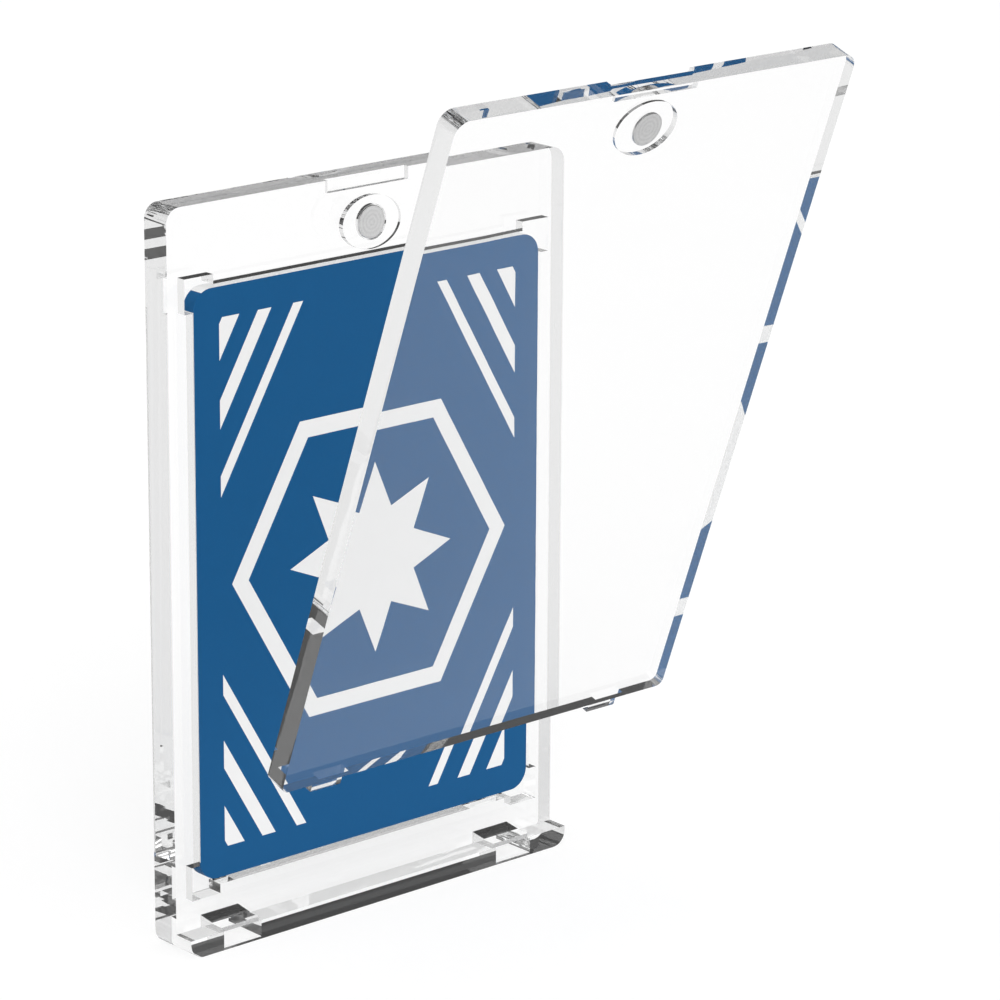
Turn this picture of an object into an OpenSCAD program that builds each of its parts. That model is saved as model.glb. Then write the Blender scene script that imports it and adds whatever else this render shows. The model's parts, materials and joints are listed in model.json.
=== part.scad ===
// Clear display case for one trading card, shown with its cover taken off.
// A moulded rear shell holds the card in a shallow pocket. A flat front shell
// sets two feet into slots in the rear shell's ledge, and a magnet pair near
// the top holds it shut.
//
// +X is to the right, +Y to the back, +Z up. The origin is on the base, at the
// middle of the width, in the plane where the two shells meet.

/* [Case] */
// Plate on each side of the card pocket
side_margin = 4.4; // [3:0.1:12]
// Plate below the card pocket, down to the base
foot_margin = 8.67; // [7.6:0.01:14]
// Plate above the card pocket
head_margin = 11.78; // [11.4:0.01:20]
// Thickness of the rear shell's plate
plate_t = 5; // [3.6:0.1:8]
// Thickness of the front shell
cover_t = 3.5; // [3:0.1:5]
// Height of the ledge that the front shell stands on
ledge_h = 2.9; // [2.4:0.1:5]
// Outer corner radius of the rear shell and of the front shell's top
corner_r = 2.3; // [0.5:0.1:2.3]
// Corner radius at the front shell's lower edge
cover_foot_r = 1.2; // [0.4:0.1:3]
// Air left between the two shells when the case is shut
shut_gap = 0.05; // [0.02:0.01:0.15]

/* [Insert card] */
// Width of the card
card_w = 63; // [60:0.5:66]
// Height of the card
card_h = 88; // [85:0.5:91]
// Thickness of the card
card_t = 2.4; // [0.8:0.05:3]
// Corner radius of the card
card_r = 3.1; // [1:0.1:5]
// Air between the card's back and the pocket floor
card_floor_gap = 0.04; // [0.02:0.01:0.1]
// How far the card's face lies below the rear shell's face
card_face_gap = 0.25; // [0.05:0.05:0.5]

/* [Pocket] */
// Room on each side of the card
pocket_side_gap = 0.35; // [0.2:0.05:0.6]
// Room under the card
pocket_foot_gap = 0.95; // [0.3:0.05:1.2]
// Room above the card
pocket_head_gap = 0.6; // [0.3:0.05:1.2]
// Side length of the square relief at each pocket corner
relief_size = 5.1; // [3:0.1:7]
// How far each relief reaches past the pocket's edges
relief_reach = 1.4; // [0.5:0.1:2]

/* [Magnets] */
// Radius of the two magnets
magnet_r = 2.45; // [1.5:0.05:3]
// Thickness of the two magnets
magnet_t = 0.8; // [0.5:0.05:1.2]
// Distance of the magnets' axis below the top of the case
magnet_drop = 6.95; // [6.2:0.05:7.4]
// Radial air around the rear magnet
rear_magnet_gap = 0.2; // [0.02:0.01:0.3]
// Radial air around the front magnet
front_magnet_gap = 0.04; // [0.02:0.01:0.3]
// Glue film behind each magnet
glue_film = 0.03; // [0.01:0.01:0.1]
// Half width of the oval boss around the rear magnet
boss_half_w = 5.4; // [4.5:0.1:7]
// Half height of the oval boss
boss_half_h = 3.95; // [3.5:0.05:4.1]
// How far the boss stands out of the rear shell
boss_h = 0.85; // [0.5:0.05:1.2]
// Air around the boss in the front shell's recess
recess_side_gap = 0.1; // [0.05:0.01:0.3]
// Air in front of the boss in the front shell's recess
recess_floor_gap = 0.05; // [0.02:0.01:0.2]

/* [Opening notch] */
// Width of the fingernail notch at the top of both shells
notch_w = 15; // [8:0.5:24]
// Height of the notch
notch_h = 1.85; // [0.8:0.05:2]
// Depth of the notch into each shell
notch_d = 0.9; // [0.4:0.05:1.5]

/* [Feet and slots] */
// Distance of each foot from the middle of the case
foot_x = 26.25; // [18:0.05:28]
// Width of a foot
foot_w = 5.4; // [3:0.1:8]
// Thickness of a foot
foot_t = 1.8; // [1:0.05:2]
// Room on each side of a foot in its slot
slot_side_gap = 0.75; // [0.2:0.05:1.2]
// Room in front of a foot in its slot
slot_front_gap = 0.3; // [0.1:0.05:0.6]
// Room between a seated foot's end and the base plane
foot_end_gap = 0.05; // [0.02:0.01:0.5]
// Height of the slot's ceiling above the ledge, where it enters the plate
slot_head_room = 0.15; // [0.1:0.05:0.5]
// Draft angle of the slot's ceiling, rising to the back
slot_draft = 4.6; // [0:0.1:8]

/* [Open pose] */
// Tilt of the front shell while it is held off the case
open_tilt = 20; // [0:1:30]
// Distance of its lower inner edge in front of the rear shell
open_reach = 21.13; // [8:0.01:40]
// Height of its lower inner edge above the base
open_lift = 32.53; // [8:0.01:60]

/* [Hidden] */
$fn = 64;

// Overshoot of a cutting body past the face that it opens
over = 1;
// Number of straight sides that stand for an oval outline
OVAL_SIDES = 96;
// The pocket's sizes follow the card
pocket_w = card_w + 2 * pocket_side_gap;
pocket_h = card_h + pocket_foot_gap + pocket_head_gap;
pocket_d = card_face_gap + card_t + card_floor_gap;
pocket_z = foot_margin;
card_z = pocket_z + pocket_foot_gap;
// The case's outer sizes follow the pocket
case_w = pocket_w + 2 * side_margin;
case_h = pocket_z + pocket_h + head_margin;
magnet_z = case_h - magnet_drop;
// The front shell stands on the ledge, and its feet reach down past it
cover_h = case_h - ledge_h - shut_gap;
foot_h = ledge_h + shut_gap - foot_end_gap;
// Slot sizes follow the foot
slot_w = foot_w + 2 * slot_side_gap;
slot_y = -foot_t - shut_gap - slot_front_gap;
slot_z = ledge_h + slot_head_room;
// Depth of the front recess, and the magnet's height on the front shell
recess_d = boss_h + recess_floor_gap - shut_gap;
cover_magnet_z = magnet_z - ledge_h - shut_gap;

// Rectangle centred on X and standing on the X axis, with round corners
module round_rect(w, h, r_head, r_foot) {
    difference() {
        translate([-w / 2, 0])
            square([w, h]);
        for (side = [0, 1])
            mirror([side, 0]) {
                translate([w / 2 - r_head, h - r_head])
                    corner_waste(r_head);
                translate([w / 2 - r_foot, r_foot])
                    mirror([0, 1])
                        corner_waste(r_foot);
            }
    }
}

// What a round corner leaves of its square, with the arc centred on the origin
module corner_waste(r) {
    difference() {
        square(r + over);
        circle(r);
    }
}

// Oval outline with the given half width and half height
module oval(half_w, half_h) {
    polygon([for (i = [0:OVAL_SIDES - 1])
        let (turn = 360 * i / OVAL_SIDES)
        [half_w * cos(turn), half_h * sin(turn)]]);
}

// Stands an outline up in XZ, from depth y_front back to depth y_back
module stand(y_front, y_back) {
    translate([0, y_back, 0])
        rotate([90, 0, 0])
            linear_extrude(y_back - y_front)
                children();
}

// Bar across X with the given profile in YZ
module bar_across(x, w) {
    translate([x - w / 2, 0, 0])
        rotate([90, 0, 90])
            linear_extrude(w)
                children();
}

// Card pocket with its four corner reliefs, which free the card's corners
module pocket_outline() {
    translate([-pocket_w / 2, pocket_z])
        square([pocket_w, pocket_h]);
    for (x = [0, 1], z = [0, 1])
        translate([0, pocket_z + pocket_h / 2])
            mirror([x, 0])
                mirror([0, z])
                    translate([pocket_w / 2 + relief_reach - relief_size,
                               pocket_h / 2 + relief_reach - relief_size])
                        square(relief_size);
}

// Slot under the plate and up through the ledge, open below and at the back
module slot_profile() {
    polygon([
        [slot_y, -over],
        [slot_y, slot_z],
        [0, slot_z],
        [plate_t + over, slot_z + (plate_t + over) * tan(slot_draft)],
        [plate_t + over, -over]
    ]);
}

// Fingernail notch: open at the top of a shell of the given height
module notch_outline(h) {
    translate([-notch_w / 2, h - notch_h])
        square([notch_w, notch_h + over]);
}

// Disc magnet whose front is at depth y
module magnet_disc(y) {
    stand(y, y + magnet_t)
        circle(magnet_r);
}

// Plate and ledge as one outline, with the front cut back above the ledge
module rear_blank() {
    difference() {
        stand(-cover_t, plate_t)
            round_rect(case_w, case_h, corner_r, corner_r);
        stand(-cover_t - over, 0)
            translate([-case_w / 2 - over, ledge_h])
                square([case_w + 2 * over, case_h]);
    }
    stand(-boss_h, plate_t / 2)
        translate([0, magnet_z])
            oval(boss_half_w, boss_half_h);
}

module rear_shell() {
    color([0.93, 0.96, 0.98, 0.4])
        difference() {
            rear_blank();
            stand(-over, pocket_d)
                pocket_outline();
            stand(-boss_h - over, -boss_h + magnet_t + glue_film)
                translate([0, magnet_z])
                    circle(magnet_r + rear_magnet_gap);
            stand(-over, notch_d)
                notch_outline(case_h);
            for (side = [-1, 1])
                bar_across(side * foot_x, slot_w)
                    slot_profile();
        }
}

module insert_card() {
    color([0.08, 0.35, 0.55])
        stand(card_face_gap, card_face_gap + card_t)
            translate([0, card_z])
                round_rect(card_w, card_h, card_r, card_r);
}

module rear_magnet() {
    color([0.75, 0.75, 0.75])
        translate([0, 0, magnet_z])
            magnet_disc(-boss_h);
}

// Puts a front-shell piece, drawn with its inner face at Y 0 and its lower
// edge at Z 0, where the open case shows it
module held_open() {
    translate([0, -open_reach, open_lift])
        rotate([open_tilt, 0, 0])
            children();
}

// Cover plate with its two feet, before the recess and the notch are cut
module cover_blank() {
    stand(-cover_t, 0)
        round_rect(case_w, cover_h, corner_r, cover_foot_r);
    for (side = [-1, 1])
        stand(-foot_t, 0)
            translate([side * foot_x - foot_w / 2, -foot_h])
                square([foot_w, foot_h + cover_foot_r]);
}

module front_shell() {
    color([0.93, 0.96, 0.98, 0.4])
        held_open()
            difference() {
                cover_blank();
                stand(-recess_d, over)
                    translate([0, cover_magnet_z])
                        oval(boss_half_w + recess_side_gap, boss_half_h + recess_side_gap);
                stand(-recess_d - magnet_t - glue_film, over)
                    translate([0, cover_magnet_z])
                        circle(magnet_r + front_magnet_gap);
                stand(-notch_d, over)
                    notch_outline(cover_h);
            }
}

module front_magnet() {
    color([0.75, 0.75, 0.75])
        held_open()
            translate([0, 0, cover_magnet_z])
                magnet_disc(-recess_d - magnet_t);
}

rear_shell();
insert_card();
rear_magnet();
front_shell();
front_magnet();
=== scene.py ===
"""Clear trading card display case with its cover off: shells, magnets, print, studio and camera.

The two clear shells and the magnets are built here with round corners that are smooth enough for
plastic that light passes through. Each is built in the shut case, in millimetres, and a front
piece is then swung to where the open case shows it.
"""

import json
import math

import bmesh
import bpy
from bpy.props import FloatProperty, FloatVectorProperty, PointerProperty
from bpy.types import Operator, Panel, PropertyGroup
from mathutils import Matrix, Vector


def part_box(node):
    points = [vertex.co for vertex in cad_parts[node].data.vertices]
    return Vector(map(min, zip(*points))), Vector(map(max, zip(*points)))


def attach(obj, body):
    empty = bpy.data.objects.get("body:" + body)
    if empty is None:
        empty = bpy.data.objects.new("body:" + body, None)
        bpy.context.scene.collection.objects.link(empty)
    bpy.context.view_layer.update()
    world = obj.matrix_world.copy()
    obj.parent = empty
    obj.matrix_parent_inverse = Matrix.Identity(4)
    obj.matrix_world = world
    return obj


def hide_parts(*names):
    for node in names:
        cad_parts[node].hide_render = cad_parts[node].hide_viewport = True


bl_info = {
    "name": "Card display case",
    "version": (1, 0, 0),
    "blender": (4, 5, 0),
    "location": "View3D > Sidebar > Card case",
    "description": "Clear shells, magnets, printed card and studio for a trading card case",
    "category": "Object",
}

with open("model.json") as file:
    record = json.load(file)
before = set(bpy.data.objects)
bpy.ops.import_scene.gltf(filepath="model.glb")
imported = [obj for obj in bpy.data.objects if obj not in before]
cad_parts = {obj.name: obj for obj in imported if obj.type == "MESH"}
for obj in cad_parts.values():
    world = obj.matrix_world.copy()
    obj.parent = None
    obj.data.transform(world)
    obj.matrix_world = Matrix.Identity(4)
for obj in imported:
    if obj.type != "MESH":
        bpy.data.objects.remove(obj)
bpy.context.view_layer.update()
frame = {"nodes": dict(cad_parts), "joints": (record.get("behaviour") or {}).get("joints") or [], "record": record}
rear_low, rear_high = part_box("rear_shell")
card_low, card_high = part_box("insert_card")
card_middle = (card_low + card_high) / 2
card_half = (card_high - card_low) / 2
MM = 0.001

# Straight sides in a round corner, in a full oval or circle, and in a magnet's rim
CORNER_SIDES = 48
OVAL_SIDES = 256
RIM_SIDES = 6
# An edge between two faces that meet at more than this angle stays crisp
CRISP_ANGLE = math.radians(20)
# Points nearer than this, in millimetres, are one point, and faces within this angle one face
SAME_POINT = 0.0001
SAME_FACE = math.radians(0.05)
# How far a cutting tool reaches past the face that it opens, in millimetres
OVER = 1.0

# Sockets of a colour Mix node: its two colours and its result
COLOUR_A = 6
COLOUR_B = 7
MIXED = 2
# Nearly all values of a noise texture lie between these two
NOISE_LOW = 0.3
NOISE_HIGH = 0.7
# A count of bounces above this is one bounce or more
ONE_BOUNCE = 0.5


def linear(hex_colour):
    """An sRGB hex colour as the linear values that Blender works in."""
    channels = [int(hex_colour[i:i + 2], 16) / 255 for i in (1, 3, 5)]
    return tuple(c / 12.92 if c <= 0.04045 else ((c + 0.055) / 1.055) ** 2.4 for c in channels)


def length(name, description, millimetres):
    """A length property that is shown in the scene's units."""
    return FloatProperty(name=name, description=description, default=millimetres * MM,
                         min=0.0, precision=5, unit="LENGTH")


def colour(name, description, hex_colour):
    """A colour property, given as an sRGB hex value."""
    return FloatVectorProperty(name=name, description=description, default=linear(hex_colour),
                               min=0.0, max=1.0, size=3, subtype="COLOR")


class ShellSizes(PropertyGroup):
    """Sizes of the two clear shells."""
    corner_radius: length("Corner radius", "Outer corners, apart from the cover's lower two", 2.3)
    cover_foot_radius: length("Cover foot radius", "Corners at the cover's lower edge", 1.2)
    ledge_height: length("Ledge height", "Height of the ledge that the cover stands on", 2.9)
    shut_gap: length("Shut gap", "Air between the two shells when the case is shut", 0.05)
    pocket_width: length("Pocket width", "Width of the card pocket", 63.7)
    pocket_height: length("Pocket height", "Height of the card pocket", 89.55)
    pocket_depth: length("Pocket depth", "Depth of the card pocket", 2.69)
    pocket_foot: length("Pocket foot", "Height of the pocket's lower edge", 8.67)
    relief_size: length("Relief size", "Side of the square relief at each pocket corner", 5.1)
    relief_reach: length("Relief reach", "How far a relief reaches past the pocket", 1.4)
    boss_half_width: length("Boss half width", "Half width of the oval magnet boss", 5.4)
    boss_half_height: length("Boss half height", "Half height of the oval magnet boss", 3.95)
    boss_height: length("Boss height", "How far the boss stands out of the rear shell", 0.85)
    recess_gap: length("Recess gap", "Air around the boss in the cover's recess", 0.1)
    recess_depth: length("Recess depth", "Depth of the cover's recess", 0.85)
    notch_width: length("Notch width", "Width of the fingernail notch", 15)
    notch_height: length("Notch height", "Height of the fingernail notch", 1.85)
    notch_depth: length("Notch depth", "Depth of the notch into each shell", 0.9)
    foot_offset: length("Foot offset", "Distance of each foot from the middle", 26.25)
    foot_width: length("Foot width", "Width of a foot", 5.4)
    foot_thickness: length("Foot thickness", "Thickness of a foot", 1.8)
    slot_side_gap: length("Slot side gap", "Room on each side of a foot", 0.75)
    slot_front_gap: length("Slot front gap", "Room in front of a foot", 0.3)
    slot_head_room: length("Slot head room", "Height of the slot above the ledge", 0.15)
    slot_draft: FloatProperty(name="Slot draft",
                              description="Rise of the slot's ceiling to the back",
                              default=math.radians(4.6), min=0.0, subtype="ANGLE")


class MagnetSizes(PropertyGroup):
    """Sizes of the two disc magnets."""
    radius: length("Radius", "Radius of both magnets", 2.45)
    thickness: length("Thickness", "Thickness of both magnets", 0.8)
    drop: length("Drop", "Distance of the magnets below the top of the case", 6.95)
    rim_radius: length("Rim radius", "Rounding of the plated rim", 0.12)
    rear_gap: length("Rear gap", "Air around the rear magnet in its bore", 0.2)
    glue_film: length("Glue film", "Glue between a magnet and the bottom of its bore", 0.03)


class CardPrint(PropertyGroup):
    """Design printed on the card."""
    ink: colour("Ink", "Main printed colour", "#125B90")
    paper: colour("Paper", "Unprinted coated stock", "#FAFAFA")
    corner_radius: length("Corner radius", "Round corners of the card", 3.1)
    margin: length("Margin", "Plain ink between the stripes and the card's edge", 4.5)
    frame_radius: length("Frame radius", "Middle of the six-sided frame, across its flats", 20.5)
    frame_width: length("Frame width", "Width of the six-sided frame", 2.6)
    star_radius: length("Star radius", "Radius of the star at its points", 14.5)
    stripe_start: length("Stripe start", "Where the slanted stripes begin", 26)
    stripe_pitch: length("Stripe pitch", "Distance between two slanted stripes", 5)


class StudioLook(PropertyGroup):
    """Colours and lamps of the studio."""
    backdrop: colour("Backdrop", "Paper sweep under and behind the case", "#FFFFFF")
    sweep: colour("Sweep", "The same paper as the lamps light it, seen in reflections", "#E1E1E1")
    room_above: colour("Room above", "Unlit studio above the sweep, seen in reflections", "#353535")
    sky: colour("Sky", "Soft light from all around, on matt surfaces", "#F7F7F7")
    key_power: FloatProperty(name="Key power", description="Soft lamp in front, to the left",
                             default=12.0, min=0.0, unit="POWER")
    top_power: FloatProperty(name="Top power", description="Soft lamp overhead",
                             default=3.0, min=0.0, unit="POWER")


def add_node(tree, kind, inputs=None, **settings):
    """Adds a node with its settings, and fills its inputs with values, nodes or sockets."""
    new = tree.nodes.new(kind)
    for name, value in settings.items():
        setattr(new, name, value)
    for name, value in (inputs or {}).items():
        if isinstance(value, bpy.types.Node):
            tree.links.new(value.outputs[0], new.inputs[name])
        elif isinstance(value, bpy.types.NodeSocket):
            tree.links.new(value, new.inputs[name])
        else:
            new.inputs[name].default_value = value
    return new


def blank_material(name):
    """A new material with an empty node tree."""
    material = bpy.data.materials.new(name)
    material.use_nodes = True
    material.node_tree.nodes.clear()
    return material


def new_object(name, data):
    """A new object in the scene."""
    placed = bpy.data.objects.new(name, data)
    bpy.context.scene.collection.objects.link(placed)
    return placed


# ---------------------------------------------------------------- outlines and solids, in mm


def arc(centre, half_width, half_height, start, sweep, sides):
    """Points along an arc of an XZ outline, with its angles in degrees from +X to +Z."""
    turns = [math.radians(start + sweep * i / sides) for i in range(sides + 1)]
    return [(centre[0] + half_width * math.cos(t), centre[1] + half_height * math.sin(t))
            for t in turns]


def round_rect(half_width, foot, head, foot_radius, head_radius):
    """Upright rectangle from height foot to height head, with round corners."""
    corners = (
        (half_width - foot_radius, foot + foot_radius, foot_radius, -90),
        (half_width - head_radius, head - head_radius, head_radius, 0),
        (head_radius - half_width, head - head_radius, head_radius, 90),
        (foot_radius - half_width, foot + foot_radius, foot_radius, 180),
    )
    return [point for x, z, radius, start in corners
            for point in arc((x, z), radius, radius, start, 90, CORNER_SIDES)]


def rectangle(left, right, foot, head):
    """Rectangle with square corners."""
    return [(left, foot), (right, foot), (right, head), (left, head)]


def oval(half_width, half_height, height):
    """Oval outline around the middle of the case at the given height."""
    return arc((0, height), half_width, half_height, 0, 360, OVAL_SIDES)[:-1]


def solid_of(name, mesh):
    """Turns the faces of a bmesh outwards and makes an object of it."""
    bmesh.ops.recalc_face_normals(mesh, faces=mesh.faces)
    data = bpy.data.meshes.new(name)
    mesh.to_mesh(data)
    mesh.free()
    return new_object(name, data)


def prism(name, near_ring, far_ring):
    """Closed solid between two outlines with as many points each."""
    mesh = bmesh.new()
    near = [mesh.verts.new(point) for point in near_ring]
    far = [mesh.verts.new(point) for point in far_ring]
    mesh.faces.new(near)
    mesh.faces.new(far)
    for i, start in enumerate(near):
        mesh.faces.new((start, near[i - 1], far[i - 1], far[i]))
    return solid_of(name, mesh)


def stand(name, outline, front, back):
    """Stands an XZ outline up as a solid from depth front to depth back."""
    return prism(name, [(x, front, z) for x, z in outline], [(x, back, z) for x, z in outline])


def combine(blank, tool, operation):
    """Cuts a tool out of a blank, or joins it on, and clears the tool away."""
    step = blank.modifiers.new(operation, "BOOLEAN")
    step.operation = operation
    step.solver = "EXACT"
    step.object = tool
    shaped = blank.evaluated_get(bpy.context.evaluated_depsgraph_get())
    blank.data = bpy.data.meshes.new_from_object(shaped)
    blank.modifiers.clear()
    bpy.data.objects.remove(tool)


def polish(piece):
    """Smooths round faces, keeps crisp edges, and lets flat faces keep their own normals."""
    mesh = bmesh.new()
    mesh.from_mesh(piece.data)
    bmesh.ops.remove_doubles(mesh, verts=mesh.verts, dist=SAME_POINT)
    bmesh.ops.dissolve_limit(mesh, angle_limit=SAME_FACE, verts=mesh.verts, edges=mesh.edges)
    if any(len(edge.link_faces) != 2 for edge in mesh.edges):
        raise RuntimeError(piece.name + " isn't a closed solid")
    for face in mesh.faces:
        face.smooth = True
    for edge in mesh.edges:
        edge.smooth = edge.calc_face_angle() < CRISP_ANGLE
    mesh.to_mesh(piece.data)
    mesh.free()
    weighted = piece.modifiers.new("flat faces first", "WEIGHTED_NORMAL")
    weighted.keep_sharp = True
    # The most that large faces can count
    weighted.weight = 100


def swing_open():
    """The move from the shut case to the open one, as the cover's hinge says."""
    joint = frame["joints"][0]
    place = Vector(joint["pos_m"])
    turn = Matrix.Rotation(math.radians(-joint["range_deg"][0]), 4, Vector(joint["axis"]))
    return Matrix.Translation(place) @ turn @ Matrix.Translation(-place)


def hand_in(piece, node, material):
    """Brings a piece to metres and to its place, and lets it stand for its CAD node."""
    body = next(name for name, nodes in frame["record"]["behaviour"]["bodies"].items()
                if node in nodes)
    piece.data.transform(Matrix.Scale(MM, 4))
    if body == "front_cover":
        piece.data.transform(swing_open())
    piece.data.materials.clear()
    piece.data.materials.append(material)
    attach(piece, body)
    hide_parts(node)


# ---------------------------------------------------------------- the clear shells

# Colourless plastic, and the faint tint that a lamp's light takes on in each face
ACRYLIC = "#FFFFFF"
ACRYLIC_SHADOW = "#FBFCFC"
# Shallow ripples that the flow of the melt leaves, which only long inner reflections show
RIPPLE_LENGTH = 9 * MM
RIPPLE_DEPTH = 0.004 * MM


def clear_acrylic():
    """Clear acrylic, injection moulded in a polished mould.

    It has no colour, it reflects sharply, and its edges reflect the studio from inside.
    """
    found = bpy.data.materials.get("clear_acrylic_moulded")
    if found:
        return found
    material = blank_material("clear_acrylic_moulded")
    tree = material.node_tree
    place = add_node(tree, "ShaderNodeTexCoord")
    flow = add_node(tree, "ShaderNodeTexNoise", {
        "Vector": place.outputs["Object"],
        "Scale": 1 / RIPPLE_LENGTH,
        "Detail": 1.0,
    })
    ripple = add_node(tree, "ShaderNodeBump", {
        "Height": flow,
        "Strength": 1.0,
        "Distance": RIPPLE_DEPTH,
    })
    body = add_node(tree, "ShaderNodeBsdfPrincipled", {
        "Base Color": (*linear(ACRYLIC), 1.0),
        "Roughness": 0.0,
        "IOR": 1.49,
        "Transmission Weight": 1.0,
        "Normal": ripple,
    })
    # A lamp's light passes through clear plastic and leaves only a faint shadow
    lamp_light = add_node(tree, "ShaderNodeBsdfTransparent",
                          {"Color": (*linear(ACRYLIC_SHADOW), 1.0)})
    path = add_node(tree, "ShaderNodeLightPath")
    surface = add_node(tree, "ShaderNodeMixShader", {
        0: path.outputs["Is Shadow Ray"],
        1: body,
        2: lamp_light,
    })
    add_node(tree, "ShaderNodeOutputMaterial", {"Surface": surface})
    return material


def pocket_tools(sizes):
    """The card pocket and the square relief at each of its corners."""
    half = sizes.pocket_width / MM / 2
    foot = sizes.pocket_foot / MM
    head = foot + sizes.pocket_height / MM
    depth = sizes.pocket_depth / MM
    size = sizes.relief_size / MM
    reach = sizes.relief_reach / MM
    yield stand("pocket", rectangle(-half, half, foot, head), -OVER, depth)
    for left in (-half - reach, half + reach - size):
        for low in (foot - reach, head + reach - size):
            yield stand("relief", rectangle(left, left + size, low, low + size), -OVER, depth)


def slot_tools(sizes):
    """The two slots under the plate and up through the ledge, with a rising ceiling."""
    front = -(sizes.foot_thickness + sizes.shut_gap + sizes.slot_front_gap) / MM
    ceiling = (sizes.ledge_height + sizes.slot_head_room) / MM
    back = rear_high.y / MM + OVER
    profile = ((front, -OVER), (front, ceiling), (0, ceiling),
               (back, ceiling + back * math.tan(sizes.slot_draft)), (back, -OVER))
    half = (sizes.foot_width / 2 + sizes.slot_side_gap) / MM
    for side in (-1, 1):
        middle = side * sizes.foot_offset / MM
        yield prism("slot", [(middle - half, y, z) for y, z in profile],
                    [(middle + half, y, z) for y, z in profile])


def notch_tool(sizes, front, back):
    """The fingernail notch at the top of the case."""
    half = sizes.notch_width / MM / 2
    head = rear_high.z / MM
    return stand("notch", rectangle(-half, half, head - sizes.notch_height / MM, head + OVER),
                 front, back)


def rear_shell(sizes, magnet):
    """Plate and ledge with the card pocket, the magnet boss, the notch and the foot slots."""
    half = rear_high.x / MM
    head = rear_high.z / MM
    front = rear_low.y / MM
    back = rear_high.y / MM
    corner = sizes.corner_radius / MM
    magnet_height = head - magnet.drop / MM
    boss_front = -sizes.boss_height / MM
    bore = (magnet.radius + magnet.rear_gap) / MM
    bore_back = boss_front + (magnet.thickness + magnet.glue_film) / MM
    shell = stand("rear_shell_clear", round_rect(half, 0, head, corner, corner), front, back)
    above_ledge = rectangle(-half - OVER, half + OVER, sizes.ledge_height / MM, head + OVER)
    combine(shell, stand("above_ledge", above_ledge, front - OVER, 0), "DIFFERENCE")
    boss = oval(sizes.boss_half_width / MM, sizes.boss_half_height / MM, magnet_height)
    combine(shell, stand("boss", boss, boss_front, back / 2), "UNION")
    for tool in pocket_tools(sizes):
        combine(shell, tool, "DIFFERENCE")
    combine(shell, stand("bore", oval(bore, bore, magnet_height), boss_front - OVER, bore_back),
            "DIFFERENCE")
    combine(shell, notch_tool(sizes, -OVER, sizes.notch_depth / MM), "DIFFERENCE")
    for tool in slot_tools(sizes):
        combine(shell, tool, "DIFFERENCE")
    return shell


def front_shell(sizes, magnet):
    """Flat cover with its two feet, the recess for the boss and the notch.

    The magnet is glued in without air, so the plastic closes on it and shows no bore.
    """
    half = rear_high.x / MM
    head = rear_high.z / MM
    inner = -sizes.shut_gap / MM
    outer = rear_low.y / MM + inner
    foot = (sizes.ledge_height + sizes.shut_gap) / MM
    magnet_height = head - magnet.drop / MM
    foot_radius = sizes.cover_foot_radius / MM
    outline = round_rect(half, foot, head, foot_radius, sizes.corner_radius / MM)
    shell = stand("front_shell_clear", outline, outer, inner)
    for side in (-1, 1):
        middle = side * sizes.foot_offset / MM
        wide = sizes.foot_width / MM / 2
        leg = rectangle(middle - wide, middle + wide, sizes.shut_gap / MM, foot + foot_radius)
        leg_front = inner - sizes.foot_thickness / MM
        combine(shell, stand("foot", leg, leg_front, inner), "UNION")
    recess = oval((sizes.boss_half_width + sizes.recess_gap) / MM,
                  (sizes.boss_half_height + sizes.recess_gap) / MM, magnet_height)
    combine(shell, stand("recess", recess, inner - sizes.recess_depth / MM, inner + OVER),
            "DIFFERENCE")
    combine(shell, notch_tool(sizes, inner - sizes.notch_depth / MM, inner + OVER), "DIFFERENCE")
    return shell


# ---------------------------------------------------------------- the magnets

# Plating: its colour and its shade, and the share of light that the darkest grain and rings keep
NICKEL = "#F9F9F9"
NICKEL_SHADE = "#000000"
GRAIN_DARK = 0.88
RING_DARK = 0.9
# Grain of the pressed powder under the plating, and rings from facing the disc off. Both are
# finer on a real magnet, and are drawn as coarse as they need to show
GRAIN_SIZE = 0.3 * MM
GRAIN_DEPTH = 0.02 * MM
RING_PITCH = 0.6 * MM


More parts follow.
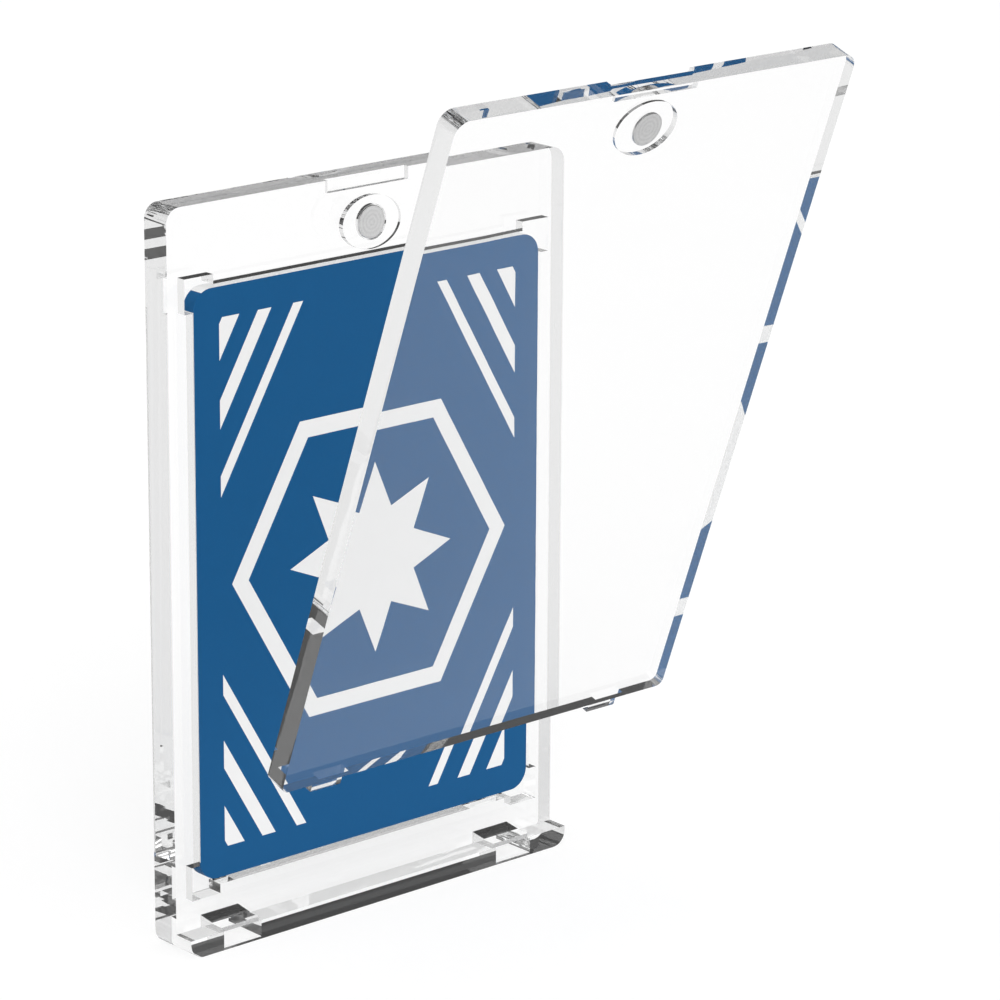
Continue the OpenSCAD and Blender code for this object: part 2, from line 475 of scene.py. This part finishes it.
def satin_nickel(sizes):
    """Nickel plated onto a pressed and faced magnet: a soft sheen with fine grain and rings."""
    found = bpy.data.materials.get("satin_nickel_plated")
    if found:
        return found
    material = blank_material("satin_nickel_plated")
    tree = material.node_tree
    place = add_node(tree, "ShaderNodeTexCoord")
    grain = add_node(tree, "ShaderNodeTexNoise", {
        "Vector": place.outputs["Object"],
        "Scale": 1 / GRAIN_SIZE,
        "Detail": 3.0,
        "Roughness": 0.6,
    })
    tone = add_node(tree, "ShaderNodeMapRange",
                    {0: grain, 1: NOISE_LOW, 2: NOISE_HIGH, 3: GRAIN_DARK, 4: 1.0})
    # The rings run around the disc's middle, which Generated coordinates put at one half
    offset = add_node(tree, "ShaderNodeVectorMath",
                      {0: place.outputs["Generated"], 1: (0.5, 0.5, 0.5)}, operation="SUBTRACT")
    flat = add_node(tree, "ShaderNodeVectorMath", {0: offset, 1: (1.0, 0.0, 1.0)},
                    operation="MULTIPLY")
    reach = add_node(tree, "ShaderNodeVectorMath", {0: flat}, operation="LENGTH")
    turns_across = 2 * math.pi * 2 * sizes.radius / RING_PITCH
    turns = add_node(tree, "ShaderNodeMath", {0: reach.outputs["Value"], 1: turns_across},
                     operation="MULTIPLY")
    wave = add_node(tree, "ShaderNodeMath", {0: turns}, operation="SINE")
    rings = add_node(tree, "ShaderNodeMapRange", {0: wave, 1: -1.0, 2: 1.0, 3: RING_DARK, 4: 1.0})
    marked = add_node(tree, "ShaderNodeMath", {0: tone, 1: rings}, operation="MULTIPLY")
    shade = add_node(tree, "ShaderNodeMix", {
        0: marked,
        COLOUR_A: (*linear(NICKEL_SHADE), 1.0),
        COLOUR_B: (*linear(NICKEL), 1.0),
    }, data_type="RGBA")
    dents = add_node(tree, "ShaderNodeBump", {
        "Height": grain,
        "Strength": 0.25,
        "Distance": GRAIN_DEPTH,
    })
    body = add_node(tree, "ShaderNodeBsdfPrincipled", {
        "Base Color": shade.outputs[MIXED],
        "Metallic": 1.0,
        "Roughness": 0.36,
        "Normal": dents,
    })
    add_node(tree, "ShaderNodeOutputMaterial", {"Surface": body})
    return material


def magnet_disc(name, sizes, front):
    """Disc turned about the magnets' axis, with a round rim, whose front is at depth front."""
    radius = sizes.radius / MM
    thickness = sizes.thickness / MM
    rim = sizes.rim_radius / MM
    height = (rear_high.z - sizes.drop) / MM
    front_rim = arc((radius - rim, rim), rim, rim, -90, 90, RIM_SIDES)
    back_rim = arc((radius - rim, thickness - rim), rim, rim, 0, 90, RIM_SIDES)
    mesh = bmesh.new()
    rings = [[mesh.verts.new((x, front + depth, height + z)) for x, z in oval(r, r, 0)]
             for r, depth in front_rim + back_rim]
    for ring, outer in zip(rings, rings[1:]):
        for i in range(OVAL_SIDES):
            mesh.faces.new((ring[i - 1], ring[i], outer[i], outer[i - 1]))
    mesh.faces.new(rings[0])
    mesh.faces.new(rings[-1])
    return solid_of(name, mesh)


# ---------------------------------------------------------------- the card


# Star: number of points, and angle between a point's direction and the normal of its sides
STAR_POINTS = 8
STAR_SLOPE = math.radians(67)

# Stripes: narrowest and widest as shares of their pitch, and pitches from the one to the other
STRIPE_NARROW = 0.2
STRIPE_WIDE = 0.6
STRIPE_GROWTH = 4

# Cut sides: thickness of the ink on a face, thickness of the board's plies, and the colour of
# the lines between them and how much of it shows
INK_FILM = 0.01 * MM
PLY = 0.4 * MM
PLY_LINE = "#BCB8B3"
PLY_DARK = 0.07
# Ink ends where the long side is this many times as far off as the short one, which is about
# 60 degrees round a corner
INK_END = 3.0

# Surface: width of the paper's fibres, depth of its tooth, tone of the ink where it is thin,
# and how rough ink and paper are. Real fibres are thinner, and are drawn as coarse as they need
# to show
FIBRE = 0.4 * MM
TOOTH = 0.01 * MM
THIN_INK = 0.97
INK_ROUGHNESS = 0.5
PAPER_ROUGHNESS = 0.65


def star_and_frame(tree, design, across, up, slant):
    """1 on the star and on the six-sided frame around it, else 0."""
    six_sided = add_node(tree, "ShaderNodeMath", {0: up, 1: slant}, operation="MAXIMUM")
    hexagon = add_node(tree, "ShaderNodeMath",
                       {0: six_sided, 1: design.frame_radius, 2: design.frame_width / 2},
                       operation="COMPARE")
    spot = add_node(tree, "ShaderNodeCombineXYZ", {0: across, 1: up})
    reach = add_node(tree, "ShaderNodeVectorMath", {0: spot}, operation="LENGTH")
    bearing = add_node(tree, "ShaderNodeMath", {0: across, 1: up}, operation="ARCTAN2")
    folded = add_node(tree, "ShaderNodeMath", {0: bearing, 1: math.pi / STAR_POINTS},
                      operation="PINGPONG")
    turned = add_node(tree, "ShaderNodeMath", {0: folded, 1: STAR_SLOPE}, operation="SUBTRACT")
    lean = add_node(tree, "ShaderNodeMath", {0: turned}, operation="COSINE")
    side = add_node(tree, "ShaderNodeMath", {0: reach.outputs["Value"], 1: lean},
                    operation="MULTIPLY")
    star = add_node(tree, "ShaderNodeMath",
                    {0: side, 1: design.star_radius * math.cos(STAR_SLOPE)},
                    operation="LESS_THAN")
    return add_node(tree, "ShaderNodeMath", {0: star, 1: hexagon}, operation="MAXIMUM")


def slanted_stripes(tree, design, slant, edge):
    """1 on the stripes, which grow wider outwards and end at the plain margin, else 0."""
    share = add_node(tree, "ShaderNodeMath", {0: slant, 1: design.stripe_pitch},
                     operation="DIVIDE")
    phase = add_node(tree, "ShaderNodeMath", {0: share}, operation="FRACT")
    width = add_node(tree, "ShaderNodeMapRange", {
        0: slant,
        1: design.stripe_start,
        2: design.stripe_start + STRIPE_GROWTH * design.stripe_pitch,
        3: STRIPE_NARROW,
        4: STRIPE_WIDE,
    })
    stripe = add_node(tree, "ShaderNodeMath", {0: phase, 1: width}, operation="LESS_THAN")
    outside = add_node(tree, "ShaderNodeMath", {0: slant, 1: design.stripe_start},
                       operation="GREATER_THAN")
    inside = add_node(tree, "ShaderNodeMath", {0: edge, 1: design.margin},
                      operation="GREATER_THAN")
    zone = add_node(tree, "ShaderNodeMath", {0: outside, 1: inside}, operation="MULTIPLY")
    return add_node(tree, "ShaderNodeMath", {0: stripe, 1: zone}, operation="MULTIPLY")


def bare_sides(tree, design, depth, side_edge, head_edge):
    """1 where the cut sides are bare board, else 0.

    The die drags ink over the round corners, and the rest of the sides is bare.
    """
    off_middle = add_node(tree, "ShaderNodeMath", {0: depth}, operation="ABSOLUTE")
    rim = add_node(tree, "ShaderNodeMath", {0: off_middle, 1: card_half.y - INK_FILM},
                   operation="LESS_THAN")
    long_side = add_node(tree, "ShaderNodeMath", {0: head_edge, 1: design.corner_radius},
                         operation="GREATER_THAN")
    ink_end = add_node(tree, "ShaderNodeMath", {0: head_edge, 1: INK_END}, operation="MULTIPLY")
    short_side = add_node(tree, "ShaderNodeMath", {0: side_edge, 1: ink_end},
                          operation="GREATER_THAN")
    inkless = add_node(tree, "ShaderNodeMath", {0: long_side, 1: short_side},
                       operation="MAXIMUM")
    return add_node(tree, "ShaderNodeMath", {0: rim, 1: inkless}, operation="MULTIPLY")


def board_colour(tree, design, depth, cut):
    """Unprinted stock, with the board's plies showing as faint lines along its cut sides."""
    turns = add_node(tree, "ShaderNodeMath", {0: depth, 1: 2 * math.pi / PLY},
                     operation="MULTIPLY")
    wave = add_node(tree, "ShaderNodeMath", {0: turns}, operation="SINE")
    marks = add_node(tree, "ShaderNodeMath", {0: wave, 1: cut}, operation="MULTIPLY")
    tone = add_node(tree, "ShaderNodeMapRange", {0: marks, 1: -1.0, 2: 0.0, 3: PLY_DARK, 4: 0.0})
    return add_node(tree, "ShaderNodeMix", {
        0: tone,
        COLOUR_A: (*design.paper, 1.0),
        COLOUR_B: (*linear(PLY_LINE), 1.0),
    }, data_type="RGBA")


def printed_card(design):
    """Coated card stock, offset printed: flat ink with a faint gloss, and bare cut sides."""
    material = blank_material("coated_card_printed")
    tree = material.node_tree
    place = add_node(tree, "ShaderNodeTexCoord")
    axes = add_node(tree, "ShaderNodeSeparateXYZ", {0: place.outputs["Object"]})
    # Distances sideways, upwards and in depth from the middle of the card
    across = add_node(tree, "ShaderNodeMath", {0: axes.outputs["X"]}, operation="ABSOLUTE")
    above = add_node(tree, "ShaderNodeMath", {0: axes.outputs["Z"], 1: card_middle.z},
                     operation="SUBTRACT")
    up = add_node(tree, "ShaderNodeMath", {0: above}, operation="ABSOLUTE")
    depth = add_node(tree, "ShaderNodeMath", {0: axes.outputs["Y"], 1: card_middle.y},
                     operation="SUBTRACT")
    # Distances from the card's long side, from its short side and from the nearer of the two
    side_edge = add_node(tree, "ShaderNodeMath", {0: card_half.x, 1: across},
                         operation="SUBTRACT")
    head_edge = add_node(tree, "ShaderNodeMath", {0: card_half.z, 1: up}, operation="SUBTRACT")
    edge = add_node(tree, "ShaderNodeMath", {0: side_edge, 1: head_edge}, operation="MINIMUM")
    # Distance along a line that rises at 30 degrees. The frame's slanted sides and the stripes
    # lie square to it
    half_up = add_node(tree, "ShaderNodeMath", {0: up, 1: 0.5}, operation="MULTIPLY")
    slant = add_node(tree, "ShaderNodeMath", {0: across, 1: math.sqrt(3) / 2, 2: half_up},
                     operation="MULTIPLY_ADD")
    emblem = star_and_frame(tree, design, across, up, slant)
    stripes = slanted_stripes(tree, design, slant, edge)
    bare = add_node(tree, "ShaderNodeMath", {0: emblem, 1: stripes}, operation="MAXIMUM")
    cut = bare_sides(tree, design, depth, side_edge, head_edge)
    unprinted = add_node(tree, "ShaderNodeMath", {0: bare, 1: cut}, operation="MAXIMUM")
    stock = board_colour(tree, design, depth, cut)
    # Ink takes a little unevenly on the paper's fibres
    fibres = add_node(tree, "ShaderNodeTexNoise", {
        "Vector": place.outputs["Object"],
        "Scale": 1 / FIBRE,
        "Detail": 2.0,
    })
    ink_tone = add_node(tree, "ShaderNodeMapRange",
                        {0: fibres, 1: NOISE_LOW, 2: NOISE_HIGH, 3: 0.0, 4: 1.0})
    ink = add_node(tree, "ShaderNodeMix", {
        0: ink_tone,
        COLOUR_A: (*(THIN_INK * channel for channel in design.ink), 1.0),
        COLOUR_B: (*design.ink, 1.0),
    }, data_type="RGBA")
    print_colour = add_node(tree, "ShaderNodeMix", {
        0: unprinted,
        COLOUR_A: ink.outputs[MIXED],
        COLOUR_B: stock.outputs[MIXED],
    }, data_type="RGBA")
    roughness = add_node(tree, "ShaderNodeMapRange",
                         {0: unprinted, 3: INK_ROUGHNESS, 4: PAPER_ROUGHNESS})
    tooth = add_node(tree, "ShaderNodeBump", {
        "Height": fibres,
        "Strength": 0.05,
        "Distance": TOOTH,
    })
    body = add_node(tree, "ShaderNodeBsdfPrincipled", {
        "Base Color": print_colour.outputs[MIXED],
        "Roughness": roughness,
        "IOR": 1.5,
        "Specular IOR Level": 0.15,
        "Normal": tooth,
    })
    add_node(tree, "ShaderNodeOutputMaterial", {"Surface": body})
    return material


# ---------------------------------------------------------------- the studio

# Camera, worked out from the edges of the case in the photograph, in mm and degrees
CAMERA_PLACE = (-406.15, -486.23, 249.93)
CAMERA_YAW = -41.603
CAMERA_PITCH = 16.57
CAMERA_ROLL = 0.389
CAMERA_LENS = 163.3
CAMERA_SENSOR = 36.0

# Lamps: where each stands and the length of its sides, in metres
KEY_PLACE = (-1.1, -1.5, 1.3)
KEY_SIZE = 1.5
TOP_PLACE = (0.1, 0.2, 2.4)
TOP_SIZE = 1.8

# Floor: how far it reaches to each side, and how far it lies below the base, in metres
FLOOR_REACH = 6.0
FLOOR_DROP = 0.05 * MM

# Paper sweep: how much of it glows, and how strongly in reflections and seen straight
GLOW_SHARE = 0.6
GLOW_REFLECTED = 0.85
GLOW_STRAIGHT = 1.15
# Soft clouds of fibre in the paper: their size and the two greys between which they lie. Real
# clouds are smaller, and are drawn as coarse as they need to show
CLOUD_SIZE = 40 * MM
PAPER_DARK = 0.74
PAPER_LIGHT = 0.76

# Heights above the horizon between which the sweep ends and the unlit room begins
SWEEP_END = math.radians(8)
ROOM_START = math.radians(9)

# How often light may turn between the polished faces of a plate before it leaves
LIGHT_TURNS = 160


def seen_straight(tree):
    """1 where a surface is seen directly or straight through clear plastic, else 0."""
    path = add_node(tree, "ShaderNodeLightPath")
    turned = add_node(tree, "ShaderNodeMath",
                      {0: path.outputs["Glossy Depth"], 1: path.outputs["Diffuse Depth"]},
                      operation="ADD")
    return add_node(tree, "ShaderNodeMath", {0: turned, 1: ONE_BOUNCE}, operation="LESS_THAN")


def paper_sweep(look):
    """Matt white background paper, lit through from below as well as from the lamps.

    Seen directly or straight through the case it is the white of the photograph, with a faint
    soft shadow, and in reflections it is a little darker, as the photograph shows it.
    """
    material = blank_material("matt_white_paper")
    # The glow differs by the kind of ray, so only rays that really reach it may sample it
    material.cycles.emission_sampling = "NONE"
    tree = material.node_tree
    place = add_node(tree, "ShaderNodeTexCoord")
    clouds = add_node(tree, "ShaderNodeTexNoise", {
        "Vector": place.outputs["Object"],
        "Scale": 1 / CLOUD_SIZE,
        "Detail": 2.0,
    })
    shade = add_node(tree, "ShaderNodeMapRange", {0: clouds, 3: PAPER_DARK, 4: PAPER_LIGHT})
    paper = add_node(tree, "ShaderNodeBsdfDiffuse", {0: shade, "Roughness": 1.0})
    strength = add_node(tree, "ShaderNodeMapRange",
                        {0: seen_straight(tree), 3: GLOW_REFLECTED, 4: GLOW_STRAIGHT})
    glow = add_node(tree, "ShaderNodeEmission", {
        "Color": (*look.backdrop, 1.0),
        "Strength": strength,
    })
    surface = add_node(tree, "ShaderNodeMixShader", {0: GLOW_SHARE, 1: paper, 2: glow})
    add_node(tree, "ShaderNodeOutputMaterial", {"Surface": surface})
    return material


def studio_floor(look):
    """Large flat floor just under the base, far enough below that the two never touch."""
    data = bpy.data.meshes.new("floor")
    outline = rectangle(-FLOOR_REACH, FLOOR_REACH, -FLOOR_REACH, FLOOR_REACH)
    data.from_pydata([(x, y, -FLOOR_DROP) for x, y in outline], [], [(0, 1, 2, 3)])
    data.materials.append(paper_sweep(look))
    floor = new_object("floor", data)


def studio_world(look):
    """White sweep up to just above the horizon, the unlit room above it, and a soft sky."""
    world = bpy.data.worlds.new("studio")
    # The sky differs by the kind of ray, so only rays that really reach it may sample it
    world.cycles.sampling_method = "NONE"
    bpy.context.scene.world = world
    world.use_nodes = True
    tree = world.node_tree
    tree.nodes.clear()
    place = add_node(tree, "ShaderNodeTexCoord")
    axes = add_node(tree, "ShaderNodeSeparateXYZ", {0: place.outputs["Generated"]})
    above_sweep = add_node(tree, "ShaderNodeMapRange", {
        0: axes.outputs["Z"],
        1: math.sin(SWEEP_END),
        2: math.sin(ROOM_START),
    })
    room = add_node(tree, "ShaderNodeMix", {
        0: above_sweep,
        COLOUR_A: (*look.sweep, 1.0),
        COLOUR_B: (*look.room_above, 1.0),
    }, data_type="RGBA")
    path = add_node(tree, "ShaderNodeLightPath")
    matt = add_node(tree, "ShaderNodeMath", {0: path.outputs["Diffuse Depth"], 1: ONE_BOUNCE},
                    operation="GREATER_THAN")
    lit = add_node(tree, "ShaderNodeMix", {
        0: matt,
        COLOUR_A: room.outputs[MIXED],
        COLOUR_B: (*look.sky, 1.0),
    }, data_type="RGBA")
    shown = add_node(tree, "ShaderNodeMix", {
        0: seen_straight(tree),
        COLOUR_A: lit.outputs[MIXED],
        COLOUR_B: (*look.backdrop, 1.0),
    }, data_type="RGBA")
    light = add_node(tree, "ShaderNodeBackground",
                     {"Color": shown.outputs[MIXED], "Strength": 1.0})
    add_node(tree, "ShaderNodeOutputWorld", {"Surface": light})


def soft_lamp(name, place, size, power):
    """Square lamp with a diffuser, pointed at the middle of the case."""
    data = bpy.data.lights.new(name, "AREA")
    data.size = size
    data.energy = power
    lamp = new_object(name, data)
    aim = Vector((0, 0, rear_high.z / 2)) - Vector(place)
    turn = aim.to_track_quat("-Z", "Y").to_matrix().to_4x4()
    lamp.matrix_world = Matrix.Translation(place) @ turn
    # A diffuser this large would glare in the polished faces
    lamp.visible_glossy = False


def studio_camera():
    """Camera at the photograph's viewing angle."""
    data = bpy.data.cameras.new("camera")
    data.sensor_fit = "HORIZONTAL"
    data.sensor_width = CAMERA_SENSOR
    data.lens = CAMERA_LENS
    eye = new_object("camera", data)
    turn = (Matrix.Rotation(math.radians(CAMERA_YAW), 4, "Z")
            @ Matrix.Rotation(math.radians(90 - CAMERA_PITCH), 4, "X")
            @ Matrix.Rotation(math.radians(CAMERA_ROLL), 4, "Z"))
    eye.matrix_world = Matrix.Translation(Vector(CAMERA_PLACE) * MM) @ turn
    bpy.context.scene.camera = eye


# ---------------------------------------------------------------- operators and panel


class CARDCASE_OT_rear_shell(Operator):
    """Build the clear rear shell"""
    bl_idname = "card_case.rear_shell"
    bl_label = "Rear shell"

    def execute(self, context):
        shell = rear_shell(context.scene.case_shells, context.scene.case_magnets)
        polish(shell)
        hand_in(shell, "rear_shell", clear_acrylic())
        return {"FINISHED"}


class CARDCASE_OT_front_shell(Operator):
    """Build the clear front shell"""
    bl_idname = "card_case.front_shell"
    bl_label = "Front shell"

    def execute(self, context):
        shell = front_shell(context.scene.case_shells, context.scene.case_magnets)
        polish(shell)
        hand_in(shell, "front_shell", clear_acrylic())
        return {"FINISHED"}


class CARDCASE_OT_magnets(Operator):
    """Build the two disc magnets"""
    bl_idname = "card_case.magnets"
    bl_label = "Magnets"

    def execute(self, context):
        shells = context.scene.case_shells
        sizes = context.scene.case_magnets
        rear_front = -shells.boss_height / MM
        cover_front = -(shells.shut_gap + shells.recess_depth + sizes.thickness) / MM
        for node, front in (("rear_magnet", rear_front), ("front_magnet", cover_front)):
            disc = magnet_disc(node + "_plated", sizes, front)
            polish(disc)
            hand_in(disc, node, satin_nickel(sizes))
        return {"FINISHED"}


class CARDCASE_OT_card(Operator):
    """Print the card"""
    bl_idname = "card_case.card"
    bl_label = "Printed card"

    def execute(self, context):
        card = frame["nodes"]["insert_card"]
        card.data.materials.clear()
        card.data.materials.append(printed_card(context.scene.case_print))
        return {"FINISHED"}


class CARDCASE_OT_stage(Operator):
    """Set up the floor, the light and the camera"""
    bl_idname = "card_case.stage"
    bl_label = "Studio"

    def execute(self, context):
        scene = context.scene
        look = scene.case_studio
        scene.view_settings.view_transform = "Standard"
        studio_camera()
        studio_floor(look)
        studio_world(look)
        soft_lamp("key", KEY_PLACE, KEY_SIZE, look.key_power)
        soft_lamp("top", TOP_PLACE, TOP_SIZE, look.top_power)
        scene.cycles.max_bounces = LIGHT_TURNS
        scene.cycles.glossy_bounces = LIGHT_TURNS
        scene.cycles.transmission_bounces = LIGHT_TURNS
        return {"FINISHED"}


class CARDCASE_PT_panel(Panel):
    """Lists the pieces of the case and the studio"""
    bl_idname = "CARDCASE_PT_panel"
    bl_label = "Card display case"
    bl_space_type = "VIEW_3D"
    bl_region_type = "UI"
    bl_category = "Card case"

    def draw(self, context):
        for piece in OPERATORS:
            self.layout.operator(piece.bl_idname)


OPERATORS = (CARDCASE_OT_rear_shell, CARDCASE_OT_front_shell, CARDCASE_OT_magnets,
             CARDCASE_OT_card, CARDCASE_OT_stage)
GROUPS = {"case_shells": ShellSizes, "case_magnets": MagnetSizes, "case_print": CardPrint,
          "case_studio": StudioLook}


def register():
    for name, group in GROUPS.items():
        bpy.utils.register_class(group)
        setattr(bpy.types.Scene, name, PointerProperty(type=group))
    for piece in (*OPERATORS, CARDCASE_PT_panel):
        bpy.utils.register_class(piece)


def unregister():
    for piece in reversed((*OPERATORS, CARDCASE_PT_panel)):
        bpy.utils.unregister_class(piece)
    for name, group in reversed(GROUPS.items()):
        delattr(bpy.types.Scene, name)
        bpy.utils.unregister_class(group)


def main():
    """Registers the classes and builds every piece."""
    register()
    bpy.ops.card_case.rear_shell()
    bpy.ops.card_case.front_shell()
    bpy.ops.card_case.magnets()
    bpy.ops.card_case.card()
    bpy.ops.card_case.stage()


if __name__ == "__main__":
    main()
